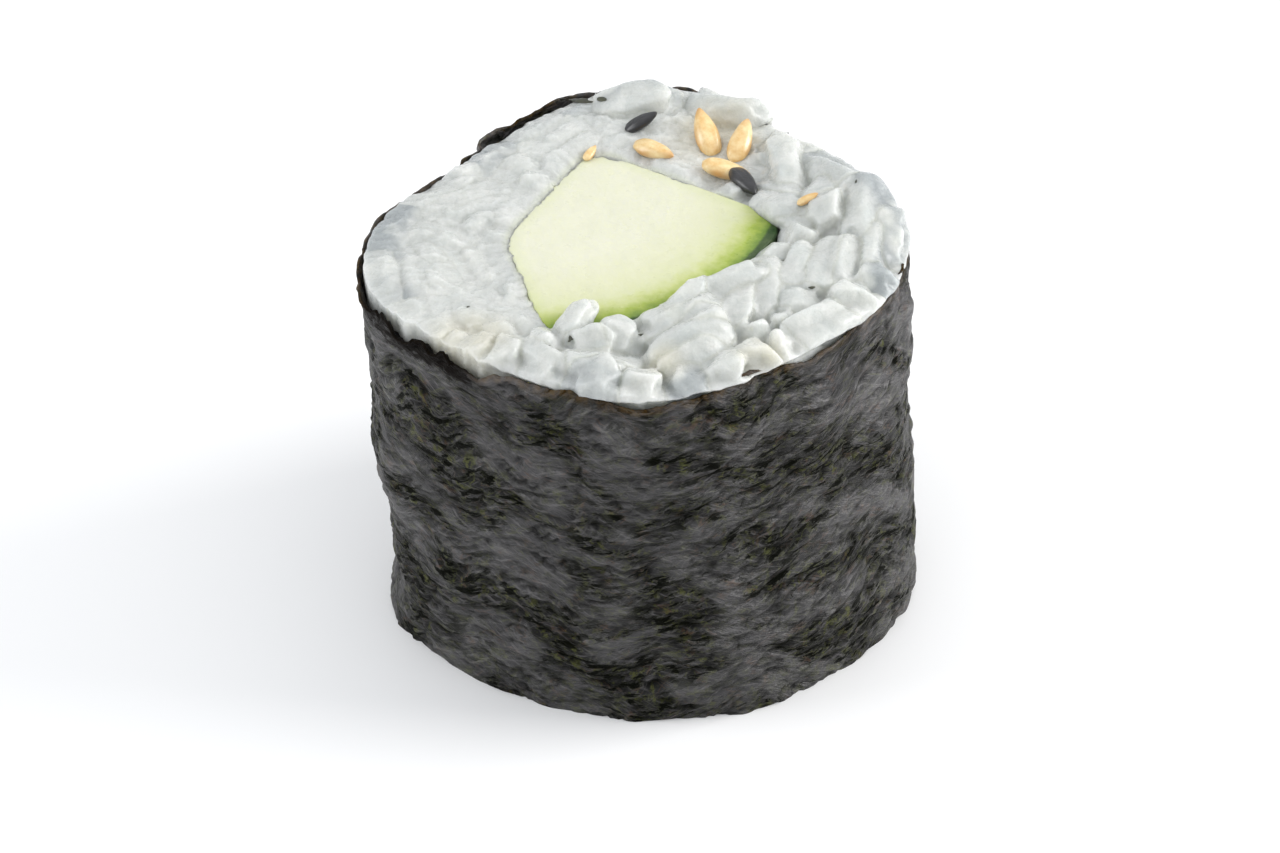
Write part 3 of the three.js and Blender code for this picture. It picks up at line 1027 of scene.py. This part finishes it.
def lapOverCucumber(x, y, z, reach, angle, least, standing):
    # The rice laps unevenly over the edge of the cucumber's face, and thins out there.
    ragged = np.array([
        0.6 * noise.noise(Vector((a * 5.0, 0, 2))) + 0.4 * noise.noise(Vector((a * 17.0, 0, 5)))
        for a in angle
    ])
    face = cucumberFace(x, y)
    above = z - face
    lap = rice["lapOver"] * (0.45 + 1.3 * ragged).clip(0.12, 1.2)
    least = least - lap * smooth(-0.12, 0.04, above)
    toEdge = np.maximum(reach - least, 0)
    near = (1 - smooth(0.25, 0.9, toEdge)) * (1 - standing)
    reach = reach - toEdge * near
    thin = face + 0.03 + (above - 0.03) * smooth(0.0, 0.8, reach - least)
    z = np.where((above > 0.03) & (standing < 0.9), mix(thin, z, standing), z)
    least = least - 4 * smooth(-0.1, 0.2, above) * standing
    return z, reach, least


def fitBetween(x, y, w, standing, facing):
    # Keeps the rice between the cucumber and the nori. Also returns how far it is from the
    # nori and from the cucumber.
    z = heightOf(w, facing)
    outset, angle = polar(x, y, z)
    reach = outset
    centre = axisAt(z)
    out = np.clip(w + 0.25, 0, rice["overhang"]) * standing if facing > 0 else 0
    most = lookUp(riceOutside, angle, z) - 0.02 + out
    wedge = lookUp(cucumberOutside, angle, z) + 0.03
    least = wedge
    if facing > 0:
        z, reach, least = lapOverCucumber(x, y, z, reach, angle, least, standing)
    gap = most - reach
    if facing > 0:
        dip = rice["dip"] * nearAngle(angle, rice["dipTowards"], 1.0) * (1 - standing)
        z = z - dip * (1 - smooth(0.0, 1.3, gap)) * smooth(-0.9, -0.1, w)
    snug = reach + np.maximum(gap, 0) * (1 - smooth(0.35, 1.0, gap))
    held = np.maximum(np.minimum(snug, most), least) / np.maximum(outset, 1e-6)
    x = centre[:, 0] + (x - centre[:, 0]) * held
    y = centre[:, 1] + (y - centre[:, 1]) * held
    return np.stack([x, y, z], 1), gap, reach - wedge


def pressRice(mesh, ends, size, ceiling, facing, rng):
    # shapes the fused grains as the knife and the rolling left them, and marks them for the look
    points = meshPoints(mesh)
    x, y, w = points.T.copy()
    marks = grainMarks(points, ends, size, facing, rng)
    loose = looseness(x, y) if facing > 0 else np.zeros_like(x)
    standing = np.maximum(loose, marks["free"])
    top = ceiling(x, y)
    over = w - top
    w = np.where(over > 0, top + over * mix(0.4, 1.0, standing), w)
    w += (1 - standing) * smooth(-0.8, 0, over) * tornRelief(x, y)
    lumps = np.array([
        0.07 * noise.noise(Vector((u * 0.7, v * 1.1, i + pw * 0.9)))
        + 0.05 * noise.noise(Vector((u * 1.6, v * 2.2, i + pw * 2.2)))
        for (u, v, i), pw in zip(marks["onGrain"], w)
    ])
    ways = np.empty(len(points) * 3)
    mesh.vertex_normals.foreach_get("vector", ways)
    push = ways.reshape(-1, 3) * (standing * lumps * smooth(-2.2, -1.2, w))[:, None]
    x, y, w = x + push[:, 0], y + push[:, 1], w + push[:, 2]
    if facing < 0:
        w = np.minimum(w, -0.01)
    placed, toNori, toCucumber = fitBetween(x, y, w, standing, facing)
    setPoints(mesh, placed)
    if facing < 0:
        mesh.flip_normals()
    setAttribute(mesh, "tone", marks["tone"])
    setAttribute(mesh, "onGrain", marks["onGrain"])
    setAttribute(mesh, "loose", standing)
    setAttribute(mesh, "seam", marks["seam"] * mix(0.25, 1.0, standing))
    setAttribute(mesh, "clear", marks["clear"] * (1 - smooth(1.0, 2.6, toNori)))
    warm, covering = np.zeros((2, len(x)))
    if facing > 0:
        for spotX, spotY, width in rice["warmSpots"]:
            far = np.hypot(placed[:, 0] - rimMiddle[0] - spotX, placed[:, 1] - rimMiddle[1] - spotY)
            warm = np.maximum(warm, 1 - smooth(0.3 * width, width, far))
        covering = smooth(0.35, -0.1, toCucumber) * smooth(1.2, 0.5, standing + 0.5)
        covering = covering * smooth(-0.6, 0.0, w)
    setAttribute(mesh, "warm", warm)
    setAttribute(mesh, "covering", covering)


def tornRelief(x, y):
    # the torn surface that the knife leaves on pressed rice
    relief = []
    for px, py in zip(x, y):
        qx = px + 1.6 * noise.noise(Vector((px * 0.35, py * 0.35, 1)))
        qy = py + 1.6 * noise.noise(Vector((px * 0.35, py * 0.35, 21)))
        fold = 1 - 2 * abs(noise.noise(Vector((qx * 0.3, qy * 0.62, 8))))
        fine = 1 - 2 * abs(noise.noise(Vector((qx * 0.8, qy * 1.35, 4))))
        relief.append(
            0.2 * noise.noise(Vector((px * 0.4, py * 0.4, 5)))
            + 0.1 * (fold ** 2 - 0.5)
            + 0.06 * (fine ** 2 - 0.5)
            + 0.05 * noise.noise(Vector((px * 3.0, py * 3.0, 2)))
        )
    return np.array(relief)


def riceMaterial():
    material, tree, shader = newMaterial("cookedRice")
    place = objectPlace(tree)
    onGrain = attribute(tree, "onGrain", "Vector")
    cloud = noiseAt(tree, place, 0.35, 3)
    base = blendColours(tree, attribute(tree, "tone"), (0.52, 0.535, 0.512, 1), (0.615, 0.625, 0.592, 1))
    base = blendColours(tree, spread(tree, cloud, 0.35, 0.7), base, (0.565, 0.58, 0.558, 1))
    # Grains are partly clear: greyer streaks run along them.
    streaks = add(tree, "ShaderNodeMapping", {"Vector": onGrain, "Scale": (0.4, 0.9, 1)}).outputs[0]
    glassy = spread(tree, noiseAt(tree, streaks, 1.0, 3, 0.5), 0.5, 0.34, (0.05, 0.75))
    glassy = calculate(tree, "MULTIPLY", glassy, attribute(tree, "loose"))
    base = blendColours(tree, glassy, base, (0.5, 0.527, 0.51, 1))
    smear = spread(tree, noiseAt(tree, place, 0.6, 4, 0.6, 0.5), 0.5, 0.34, (0.0, 0.6))
    base = blendColours(tree, smear, base, (0.5, 0.525, 0.505, 1))
    # Lighter specks are painted highlights on the rice.
    white = spread(tree, noiseAt(tree, place, 0.8, 5, 0.6, 0.4), 0.5, 0.66, (0.0, 0.5))
    base = blendColours(tree, white, base, (0.68, 0.682, 0.655, 1))
    # Some grains that touch the nori are clearer, and show grey.
    patch = spread(tree, noiseAt(tree, place, 0.45, 2), 0.36, 0.5)
    clear = calculate(tree, "MULTIPLY", attribute(tree, "clear"), patch)
    base = blendColours(tree, clear, base, (0.315, 0.34, 0.348, 1))
    ivory = spread(tree, cloud, 0.35, 0.55, (0.2, 0.6))
    ivory = calculate(tree, "MULTIPLY", attribute(tree, "warm"), ivory)
    base = blendColours(tree, ivory, base, (0.62, 0.59, 0.47, 1))
    # Over the cucumber's edge the rice is thin, and its green shows through.
    through = calculate(tree, "MULTIPLY", attribute(tree, "covering"), 0.6)
    base = blendColours(tree, through, base, (0.66, 0.69, 0.5, 1))
    # Seams between grains are painted a little darker and warmer, as painted shade in the creases between
    # them.
    seam = calculate(tree, "MULTIPLY", attribute(tree, "seam"), 0.22)
    base = blendColours(tree, seam, base, (0.52, 0.53, 0.43, 1))
    tree.links.new(base, shader.inputs["Base Color"])
    shader.inputs["Subsurface Weight"].default_value = 0.9
    shader.inputs["Subsurface Radius"].default_value = (1.0, 0.98, 0.92)
    shader.inputs["Subsurface Scale"].default_value = 1.5 * mm
    shader.inputs["IOR"].default_value = 1.4
    shader.inputs["Coat Weight"].default_value = 0.25
    shader.inputs["Coat Roughness"].default_value = 0.15
    fine = noiseAt(tree, place, 2.4, 5, 0.65)
    rough = spread(tree, fine, 0.3, 0.7, (0.14, 0.42))
    tree.links.new(rough, shader.inputs["Roughness"])
    grooves = noiseAt(tree, streaks, 2.2, 3, 0.5)
    height = calculate(tree, "MULTIPLY_ADD", noiseAt(tree, place, 6.0, 3, 0.55), 0.35, fine)
    height = calculate(tree, "MULTIPLY_ADD", grooves, 0.5, height)
    height = calculate(tree, "MULTIPLY_ADD", attribute(tree, "seam"), -0.8, height)
    bump = add(tree, "ShaderNodeBump", {"Height": height, "Strength": 0.6, "Distance": 0.15 * mm})
    tree.links.new(bump.outputs["Normal"], shader.inputs["Normal"])
    return material


def riceCore(material):
    # the hidden middle of the rice, between the two layers of grains
    around = 96
    angles = np.arange(around) * fullTurn / around
    heights = np.linspace(rice["layerDepth"] - 0.4, rimHeight - rice["layerDepth"] + 0.4, 12)
    rows = []
    for table, gap in ((riceOutside, -0.25), (cucumberOutside, 0.25)):
        levels = heights if gap < 0 else heights[::-1]
        for z in levels:
            rows.append(ringPoints(angles, lookUp(table, angles, z) + gap, z))
    mesh = newMesh("rice_core", np.concatenate(rows), ringFaces(len(rows), around))
    count = len(mesh.vertices)
    setAttribute(mesh, "tone", np.full(count, 0.5))
    for label in ("clear", "warm", "covering"):
        setAttribute(mesh, label, np.zeros(count))
    setAttribute(mesh, "onGrain", meshPoints(mesh))
    return newObject("rice_core", mesh)


riceFinish = riceMaterial()
grainRandom = random.Random(rice["seed"])
grainShapes = shapeStore(
    "grainShapes",
    [grainShape(index, grainRandom) for index in range(rice["shapes"] + rice["broken"])],
)
setOnPoints = placingTree()
topRice = makeRice(
    "rice_top", rice["topCount"], topCeiling, 1, rice["topVoxel"], rice["seed"],
    grainShapes, setOnPoints, riceFinish,
)
footRice = makeRice(
    "rice_foot", rice["footCount"], footCeiling, -1, rice["footVoxel"], rice["seed"] + 50,
    grainShapes, setOnPoints, riceFinish,
)
coreRice = riceCore(riceFinish)
finishPiece(topRice, ["rice"], riceFinish)
finishPiece(footRice, ["rice"], riceFinish)
finishPiece(coreRice, ["rice"], riceFinish)


cucumber = {
    "around": 288,
    "faceRings": 44,
    "wallRings": 40,
    "skinTowards": math.radians(-50),
    "edge": 0.14,  # rounding left by the knife
    "skin": 0.38,  # thickness of the dark skin
}


def skinCircle():
    # the arc of skin in the middle of the wedge, as a centre off the axis and a radius
    z = rimHeight / 2
    angles = cucumber["skinTowards"] + np.linspace(-0.5, 0.5, 41)
    reach = lookUp(cucumberOutside, angles, z)
    x, y = reach * np.cos(angles), reach * np.sin(angles)
    system = np.stack([x, y, np.ones_like(x)], 1)
    answer = np.linalg.lstsq(system, x * x + y * y, rcond=None)[0]
    centre = answer[:2] / 2
    return centre, math.sqrt(answer[2] + centre @ centre)


def makeCucumber():
    around = cucumber["around"]
    angles = np.arange(around) * fullTurn / around
    edge = cucumber["edge"]
    levels = []  # inset from the outline as a share or a length, and height
    for ring in range(cucumber["faceRings"]):
        levels.append((ring / cucumber["faceRings"], 0.0, 0.0))
    for step in range(5):
        turn = step / 4 * math.pi / 2
        levels.append((1.0, edge * (1 - math.sin(turn)), edge * (1 - math.cos(turn))))
    wall = np.linspace(edge, cucumberHeight - edge, cucumber["wallRings"])[1:-1]
    levels += [(1.0, 0.0, z) for z in wall]
    for step in range(5):
        turn = step / 4 * math.pi / 2
        levels.append((1.0, edge * (1 - math.cos(turn)), cucumberHeight - edge * (1 - math.sin(turn))))
    for ring in reversed(range(cucumber["faceRings"])):
        levels.append((ring / cucumber["faceRings"], 0.0, cucumberHeight))
    rows = []
    for share, inset, z in levels:
        full = lookUp(cucumberOutside, angles, z)
        outline = full - inset - (edge if share < 1 else 0)
        reach = np.maximum(outline * share, 1e-4)
        rows.append(ringPoints(angles, reach, z))
    points = np.concatenate(rows)
    topFace = points[:, 2] > cucumberHeight - edge * 2
    dip = cucumberHeight - cucumberFace(points[:, 0], points[:, 1])
    points[:, 2] -= np.where(topFace, dip, 0)
    mesh = newMesh("cucumber_wedge", points, ringFaces(len(rows), around, closed=False))
    shape = bmesh.new()
    shape.from_mesh(mesh)
    bmesh.ops.remove_doubles(shape, verts=shape.verts, dist=0.002 * mm)
    bmesh.ops.recalc_face_normals(shape, faces=shape.faces)
    shape.to_mesh(mesh)
    shape.free()
    points = meshPoints(mesh)
    centre, radius = skinCircle()
    offset = points[:, :2] - axisAt(points[:, 2]) - centre
    setAttribute(mesh, "underSkin", radius - np.hypot(offset[:, 0], offset[:, 1]))
    reach, angle = polar(points[:, 0], points[:, 1], points[:, 2])
    setAttribute(mesh, "fromCut", lookUp(cucumberOutside, angle, points[:, 2]) - reach)
    alongSkin = np.arctan2(offset[:, 1], offset[:, 0]) * radius
    setAttribute(mesh, "alongSkin", alongSkin)
    return newObject("cucumber_wedge", mesh)


def cucumberMaterial():
    material, tree, shader = newMaterial("cucumberFlesh")
    place = objectPlace(tree)
    depth = attribute(tree, "underSkin")
    along = attribute(tree, "alongSkin")
    # The green reaches into the flesh unevenly, in small teeth.
    teethPlace = add(tree, "ShaderNodeCombineXYZ", {"X": along, "Y": 0.0, "Z": 0.0}).outputs[0]
    teeth = noiseAt(tree, teethPlace, 1.1, 3, 0.6)
    ragged = noiseAt(tree, place, 1.6, 3, 0.6)
    shift = calculate(tree, "MULTIPLY_ADD", teeth, 0.7, -0.35)
    uneven = calculate(tree, "ADD", depth, shift)
    uneven = calculate(tree, "MULTIPLY_ADD", ragged, 1.0, calculate(tree, "SUBTRACT", uneven, 0.5))
    reach = spread(tree, uneven, 0.0, 6.0)
    flesh = colourRamp(tree, reach, [
        (0.0, (0.03, 0.078, 0.007)),
        (0.07, (0.135, 0.235, 0.02)),
        (0.17, (0.34, 0.425, 0.07)),
        (0.28, (0.52, 0.56, 0.245)),
        (0.4, (0.6, 0.62, 0.39)),
        (0.6, (0.64, 0.645, 0.46)),
        (1.0, (0.68, 0.678, 0.54)),
    ])
    skin = spread(tree, depth, cucumber["skin"], cucumber["skin"] * 0.6)
    colour = blendColours(tree, skin, flesh, (0.012, 0.05, 0.006, 1))
    # Cut edges are a touch greener than the middle.
    rim = spread(tree, attribute(tree, "fromCut"), 1.0, 0.0, (0.0, 0.35))
    colour = blendColours(tree, rim, colour, (0.8, 0.88, 0.55, 1), "MULTIPLY")
    mottle = spread(tree, noiseAt(tree, place, 0.9, 4, 0.65), 0.3, 0.7, (0.0, 0.14))
    colour = blendColours(tree, mottle, colour, (0.55, 0.59, 0.33, 1))
    tree.links.new(colour, shader.inputs["Base Color"])
    shader.inputs["Subsurface Weight"].default_value = 0.3
    shader.inputs["Subsurface Radius"].default_value = (1.0, 1.0, 0.5)
    shader.inputs["Subsurface Scale"].default_value = 0.5 * mm
    shader.inputs["IOR"].default_value = 1.36
    wet = noiseAt(tree, place, 1.5, 3)
    tree.links.new(spread(tree, wet, 0.3, 0.7, (0.25, 0.42)), shader.inputs["Roughness"])
    broad = noiseAt(tree, place, 0.4, 2)
    height = calculate(tree, "MULTIPLY_ADD", broad, 8.0, noiseAt(tree, place, 3.5, 4, 0.6))
    bump = add(tree, "ShaderNodeBump", {"Height": height, "Strength": 0.4, "Distance": 0.07 * mm})
    tree.links.new(bump.outputs["Normal"], shader.inputs["Normal"])
    return material


cucumberFinish = cucumberMaterial()
cucumberWedge = makeCucumber()
finishPiece(cucumberWedge, ["cucumber"], cucumberFinish)


toppings = {
    "seedLength": 2.8,
    "seedWidth": 1.2,
    "seedThickness": 0.82,
    "fleckThickness": 0.1,
    "sunk": 0.3,  # share of the thickness pressed into what is under
    # from the middle of the cut face: x, y, turn, tilt, size
    "white": [
        (1.1, 7.3, -38, 4, 0.95),
        (3.9, 8.6, 108, 22, 1.08),
        (5.75, 7.8, 72, 18, 1.0),
        (5.0, 5.5, -12, -12, 1.0),
        (-2.3, 7.2, 60, 8, 0.42),
        (9.2, 1.4, 15, 12, 0.45),
    ],
    "black": [
        (0.4, 9.5, 8, 28, 0.74),
        (5.9, 4.3, -62, 4, 0.92),
    ],
    # x, y, turn, size
    "flecks": [
        (-7.8, 7.2, 20, 0.5),
        (-3.0, 12.7, -25, 1.2),
        (-1.7, 11.6, -40, 0.8),
        (-4.5, -10.5, 15, 0.5),
        (-3.2, -9.7, 60, 0.6),
        (0.5, -9.2, 0, 0.45),
        (9.4, -5.2, 40, 0.6),
        (-5.6, 6.0, 75, 0.35),
        (-8.6, -6.2, 110, 0.4),
        (8.4, 9.1, 30, 0.5),
        (11.8, 2.4, 90, 0.4),
    ],
}


def seedShape(index):
    shape = bmesh.new()
    bmesh.ops.create_icosphere(shape, subdivisions=4, radius=1)
    for vertex in shape.verts:
        x, y, z = vertex.co
        narrow = 1 - 0.27 * x - 0.16 * max(0, x) ** 2
        y *= narrow
        z *= (1 - 0.18 * x) * (1 + 0.12 * math.exp(-((abs(y) - 0.55) ** 2) / 0.02))
        lump = 1 + 0.05 * noise.noise(Vector((x * 2, y * 2, z * 2 + index * 5)))
        vertex.co = Vector((
            x * toppings["seedLength"] / 2,
            y * toppings["seedWidth"] / 2,
            z * toppings["seedThickness"] / 2,
        )) * lump * mm
    mesh = bpy.data.meshes.new("seedShape")
    shape.to_mesh(mesh)
    shape.free()
    x, y, z = meshPoints(mesh).T / [[toppings["seedLength"] / 2], [toppings["seedWidth"] / 2], [1]]
    setAttribute(mesh, "fromMiddle", np.maximum(np.clip(x, 0, 1), np.abs(y) ** 2 * 0.9))
    return newObject("seedShape", mesh)


def fleckShape(index):
    # a torn scrap of nori, about a millimetre long
    shape = bmesh.new()
    bmesh.ops.create_icosphere(shape, subdivisions=3, radius=1)
    for vertex in shape.verts:
        x, y, z = vertex.co
        torn = 1 + 0.6 * noise.noise(Vector((x * 1.7, y * 1.7, index * 4.1)))
        torn += 0.35 * noise.noise(Vector((x * 4.5, y * 4.5, index * 2.3)))
        vertex.co = Vector((x * 0.52 * torn, y * 0.2 * torn, z * 0.06 + 0.06 * x * y)) * mm
    mesh = bpy.data.meshes.new("fleckShape")
    shape.to_mesh(mesh)
    shape.free()
    return newObject("fleckShape", mesh)


def heightUnder(x, y, supports):
    hits = [tree.ray_cast(Vector((x, y, 40)), Vector((0, 0, -1)))[0] for tree in supports]
    return max((hit.z for hit in hits if hit), default=None)


def restingPoints(places, supports, thickness):
    # sets each thing down on the surface, lying along its slope, and sinks it a little
    points, turns = [], []
    for x, y, turn, tilt, size in places:
        while heightUnder(*(rimMiddle + (x, y)), supports) is None:
            x, y = x * 0.96, y * 0.96
        px, py = rimMiddle + (x, y)
        level = heightUnder(px, py, supports)
        near = [
            heightUnder(px + dx, py + dy, supports) or level
            for dx, dy in ((0.6, 0), (-0.6, 0), (0, 0.6), (0, -0.6))
        ]
        slope = Vector((near[1] - near[0], near[3] - near[2], 1.2)).normalized()
        up = (slope + Vector((0, 0, 0.6))).normalized()
        along = Vector((math.cos(math.radians(turn)), math.sin(math.radians(turn)), 0))
        along = (along - up * along.dot(up)).normalized()
        lay = Matrix((along, up.cross(along), up)).transposed()
        lean = Matrix.Rotation(math.radians(-tilt), 3, "Y")
        turns.append(tuple((lay @ lean).to_euler()))
        height = sum(near) / 4 + thickness * size * (0.5 - toppings["sunk"])
        height += abs(math.sin(math.radians(tilt))) * toppings["seedLength"] * size * 0.2
        points.append((px, py, height))
    return points, turns


def scatter(name, places, shapes, thickness, supports, material):
    points, turns = restingPoints(places, supports, thickness)
    mesh = newMesh(name, points, [], {
        "turn": np.array(turns),
        "size": [place[4] for place in places],
        "kind": [index % len(shapes) for index in range(len(places))],
    })
    source = newObject(name + "Points", mesh)
    store = shapeStore(name + "Shapes", shapes)
    runTree(source, setOnPoints, {"Shapes": store, "Finish": material})
    piece = bake(source, name)
    finishPiece(piece, [], material)


def seedMaterial(name, dark, light, tip, rough):
    material, tree, shader = newMaterial(name)
    place = objectPlace(tree)
    mottle = spread(tree, noiseAt(tree, place, 1.6, 4, 0.6), 0.35, 0.65)
    colour = blendColours(tree, mottle, (*dark, 1), (*light, 1))
    # darker towards the pointed end and round the edge
    ends = spread(tree, attribute(tree, "fromMiddle"), 0.55, 1.0, (0.0, 0.8))
    colour = blendColours(tree, ends, colour, (*tip, 1))
    tree.links.new(colour, shader.inputs["Base Color"])
    shader.inputs["Roughness"].default_value = rough
    shader.inputs["Coat Weight"].default_value = 0.5
    shader.inputs["Coat Roughness"].default_value = 0.2
    height = noiseAt(tree, place, 6.0, 4, 0.65)
    bump = add(tree, "ShaderNodeBump", {"Height": height, "Strength": 0.5, "Distance": 0.06 * mm})
    tree.links.new(bump.outputs["Normal"], shader.inputs["Normal"])
    return material


supports = [surfaceTree(topRice), surfaceTree(cucumberWedge)]
scatter(
    "sesame_white",
    toppings["white"],
    [seedShape(index) for index in range(3)],
    toppings["seedThickness"],
    supports,
    seedMaterial("toastedSesame", (0.72, 0.46, 0.17), (0.88, 0.69, 0.37), (0.56, 0.27, 0.07), 0.3),
)
scatter(
    "sesame_black",
    toppings["black"],
    [seedShape(index) for index in range(3, 5)],
    toppings["seedThickness"],
    supports,
    seedMaterial("blackSesame", (0.006, 0.006, 0.007), (0.018, 0.018, 0.021), (0.004, 0.004, 0.004), 0.35),
)
scatter(
    "nori_flecks",
    [(x, y, turn, 0, size) for x, y, turn, size in toppings["flecks"]],
    [fleckShape(index) for index in range(4)],
    toppings["fleckThickness"],
    supports,
    seedMaterial("noriFlecks", (0.012, 0.013, 0.006), (0.04, 0.045, 0.015), (0.06, 0.03, 0.01), 0.5),
)


studio = {
    "distance": 500,
    "elevation": 38.8,
    "lens": 262,
    "aim": (0, 0, 9.4),
    "floor": 900,  # half its width
    "lights": [
        # name, place, width, strength, colour
        ("keyLight", (430, 50, 210), 260, 2.0, (1.0, 0.985, 0.97)),
        ("fillLight", (-420, -40, 200), 240, 0.8, (0.97, 0.98, 1.0)),
    ],
}


def makeFloor():
    half = studio["floor"]
    corners = [(-half, -half, 0), (half, -half, 0), (half, half, 0), (-half, half, 0)]
    mesh = newMesh("floor", corners, [(0, 1, 2, 3)])
    material, tree, shader = newMaterial("whiteTable")
    place = objectPlace(tree)
    tone = spread(tree, noiseAt(tree, place, 0.02, 2), 0.3, 0.7, (0.885, 0.9))
    colour = add(tree, "ShaderNodeCombineColor", {"Red": tone, "Green": tone, "Blue": tone})
    tree.links.new(colour.outputs["Color"], shader.inputs["Base Color"])
    shader.inputs["Roughness"].default_value = 0.6
    shader.inputs["Emission Color"].default_value = (0.97, 0.98, 1.0, 1)
    shader.inputs["Emission Strength"].default_value = 0.04
    mesh.materials.append(material)
    newObject("floor", mesh)


def makeWorld():
    # a white ceiling, darker walls
    world = bpy.data.worlds.new("studio")
    world.use_nodes = True
    tree = world.node_tree
    sky = tree.nodes["Background"]
    way = add(tree, "ShaderNodeTexCoord").outputs["Generated"]
    up = add(tree, "ShaderNodeSeparateXYZ", {0: way}).outputs["Z"]
    glow = colourRamp(tree, up, [
        (0.0, (0.42, 0.43, 0.45)),
        (0.3, (0.56, 0.575, 0.6)),
        (0.75, (1.05, 1.065, 1.085)),
    ])
    tree.links.new(glow, sky.inputs["Color"])
    sky.inputs["Strength"].default_value = 1.0
    bpy.context.scene.world = world


def makeLights():
    for name, at, width, power, colour in studio["lights"]:
        lamp = bpy.data.lights.new(name, "AREA")
        lamp.shape = "SQUARE"
        lamp.size = width * mm
        lamp.energy = power
        lamp.color = colour
        made = newObject(name, lamp)
        made.location = Vector(at) * mm
        made.rotation_euler = (-Vector(at)).to_track_quat("-Z", "Y").to_euler()


def makeCamera():
    lens = bpy.data.cameras.new("camera")
    lens.lens = studio["lens"]
    lens.clip_start = 0.01
    camera = newObject("camera", lens)
    elevation = math.radians(studio["elevation"])
    back = Vector((0, -math.cos(elevation), math.sin(elevation)))
    camera.location = (Vector(studio["aim"]) + back * studio["distance"]) * mm
    camera.rotation_euler = (-back).to_track_quat("-Z", "Y").to_euler()
    bpy.context.scene.camera = camera


makeFloor()
makeWorld()
makeLights()
makeCamera()
bpy.context.scene.view_settings.view_transform = "Standard"
print("studio made")
